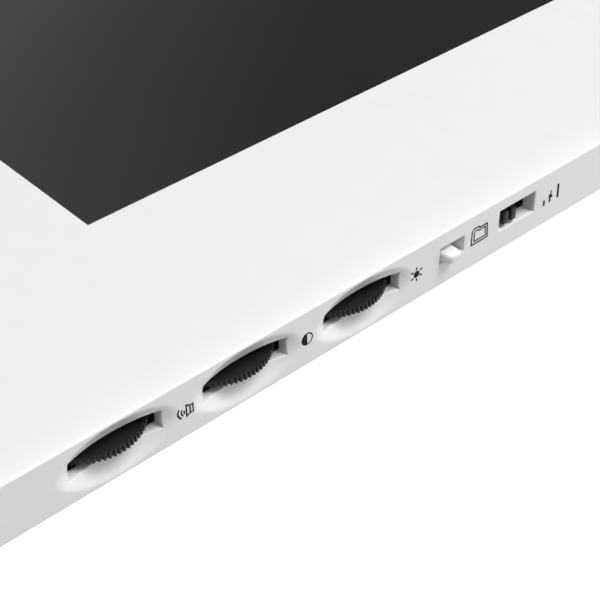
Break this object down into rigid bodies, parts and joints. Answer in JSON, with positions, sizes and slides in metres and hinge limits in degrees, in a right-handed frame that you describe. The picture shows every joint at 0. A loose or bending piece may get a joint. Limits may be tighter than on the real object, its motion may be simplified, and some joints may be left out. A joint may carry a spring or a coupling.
{
  "type": "video intercom monitor",
  "caption": "Wall-mounted indoor video intercom monitor with a flush dark screen, edge thumbwheels, a push button, a slide switch and sprung front keys.",
  "frame": {"origin": "centre of the wall face, where the monitor lies on its back", "axes": "+X to the right seen from the front, +Y up the wall, +Z out of the wall through the screen; the edge controls are on the -Y side"},
  "size_m": [0.25, 0.1665, 0.0242],
  "materials": {
    "white_shell": "white moulded ABS, satin gloss",
    "rear_shell": "white moulded ABS, fine spark texture",
    "dark_window": "dark tinted acrylic, polished",
    "black_plastic": "black moulded plastic, fine texture",
    "black_resin": "black moulded resin",
    "foam": "closed-cell black foam",
    "display": "switched-off display panel",
    "steel_sheet": "zinc-plated sheet steel",
    "circuit_board": "green solder mask",
    "black_board": "black solder mask",
    "silicone": "grey silicone rubber",
    "chip_resin": "black epoxy package",
    "aluminium_can": "drawn aluminium can",
    "paper_cone": "coated paper cone",
    "magnet": "ferrite and plated yoke",
    "terminal": "green moulded terminal block",
    "ribbon": "amber polyimide film",
    "light_pipe": "clear moulded light pipe",
    "led": "small light-emitting diode",
    "screw_steel": "zinc-plated screw"
  },
  "bodies": {
    "monitor": {"front_housing": "white_shell", "rear_cover": "rear_shell", "screen_lens": "dark_window", "volume_pot": "black_resin", "contrast_pot": "black_resin", "brightness_pot": "black_resin", "side_button_switch": "black_resin", "slide_switch_body": "black_resin", "lens_gasket": "foam", "speaker_gasket": "foam", "microphone_boot": "foam", "lcd_panel": "display", "lcd_frame": "steel_sheet", "wall_bracket": "steel_sheet", "speaker_basket": "steel_sheet", "main_board": "circuit_board", "key_board": "circuit_board", "control_board": "black_board", "key_pad": "silicone", "video_chip": "chip_resin", "audio_chip": "chip_resin", "capacitor_1": "aluminium_can", "capacitor_2": "aluminium_can", "microphone": "aluminium_can", "speaker_cone": "paper_cone", "speaker_magnet": "magnet", "line_terminal_block": "terminal", "power_terminal_block": "terminal", "lcd_ribbon": "ribbon", "control_ribbon": "ribbon", "key_ribbon": "ribbon", "led_light_pipe": "light_pipe", "status_led": "led", "housing_screw_1": "screw_steel", "housing_screw_2": "screw_steel", "housing_screw_3": "screw_steel", "housing_screw_4": "screw_steel", "lcd_screw_1": "screw_steel", "lcd_screw_2": "screw_steel", "lcd_screw_3": "screw_steel", "lcd_screw_4": "screw_steel", "board_screw_1": "screw_steel", "board_screw_2": "screw_steel", "board_screw_3": "screw_steel", "board_screw_4": "screw_steel", "control_board_screw_1": "screw_steel", "control_board_screw_2": "screw_steel", "key_board_screw_1": "screw_steel", "key_board_screw_2": "screw_steel"},
    "volume_knob": {"volume_wheel": "black_plastic"},
    "contrast_knob": {"contrast_wheel": "black_plastic"},
    "brightness_knob": {"brightness_wheel": "black_plastic"},
    "menu_button": {"side_button": "white_shell"},
    "ring_switch": {"ring_level_slider": "black_plastic"},
    "unlock_button": {"unlock_key": "white_shell"},
    "talk_button": {"talk_key": "white_shell"},
    "monitor_button": {"monitor_key": "white_shell"}
  },
  "joints": [
    {"name": "volume_turn", "type": "hinge", "parent": "monitor", "child": "volume_knob", "pos_m": [-0.09545, -0.075, 0.0189], "axis": [0, 0, 1], "range_deg": [-140, 140]},
    {"name": "contrast_turn", "type": "hinge", "parent": "monitor", "child": "contrast_knob", "pos_m": [-0.07445, -0.075, 0.0189], "axis": [0, 0, 1], "range_deg": [-140, 140]},
    {"name": "brightness_turn", "type": "hinge", "parent": "monitor", "child": "brightness_knob", "pos_m": [-0.05345, -0.075, 0.0189], "axis": [0, 0, 1], "range_deg": [-140, 140]},
    {"name": "menu_press", "type": "slide", "parent": "monitor", "child": "menu_button", "axis": [0, 1, 0], "range_m": [0, 0.001], "stiffness_N_per_m": 500, "springref_m": -0.0004},
    {"name": "ring_slide", "type": "slide", "parent": "monitor", "child": "ring_switch", "axis": [1, 0, 0], "range_m": [0, 0.0034]},
    {"name": "unlock_press", "type": "slide", "parent": "monitor", "child": "unlock_button", "axis": [0, 0, -1], "range_m": [0, 0.0006], "stiffness_N_per_m": 900, "springref_m": -0.0004},
    {"name": "talk_press", "type": "slide", "parent": "monitor", "child": "talk_button", "axis": [0, 0, -1], "range_m": [0, 0.0006], "stiffness_N_per_m": 900, "springref_m": -0.0004},
    {"name": "monitor_press", "type": "slide", "parent": "monitor", "child": "monitor_button", "axis": [0, 0, -1], "range_m": [0, 0.0006], "stiffness_N_per_m": 900, "springref_m": -0.0004}
  ]
}
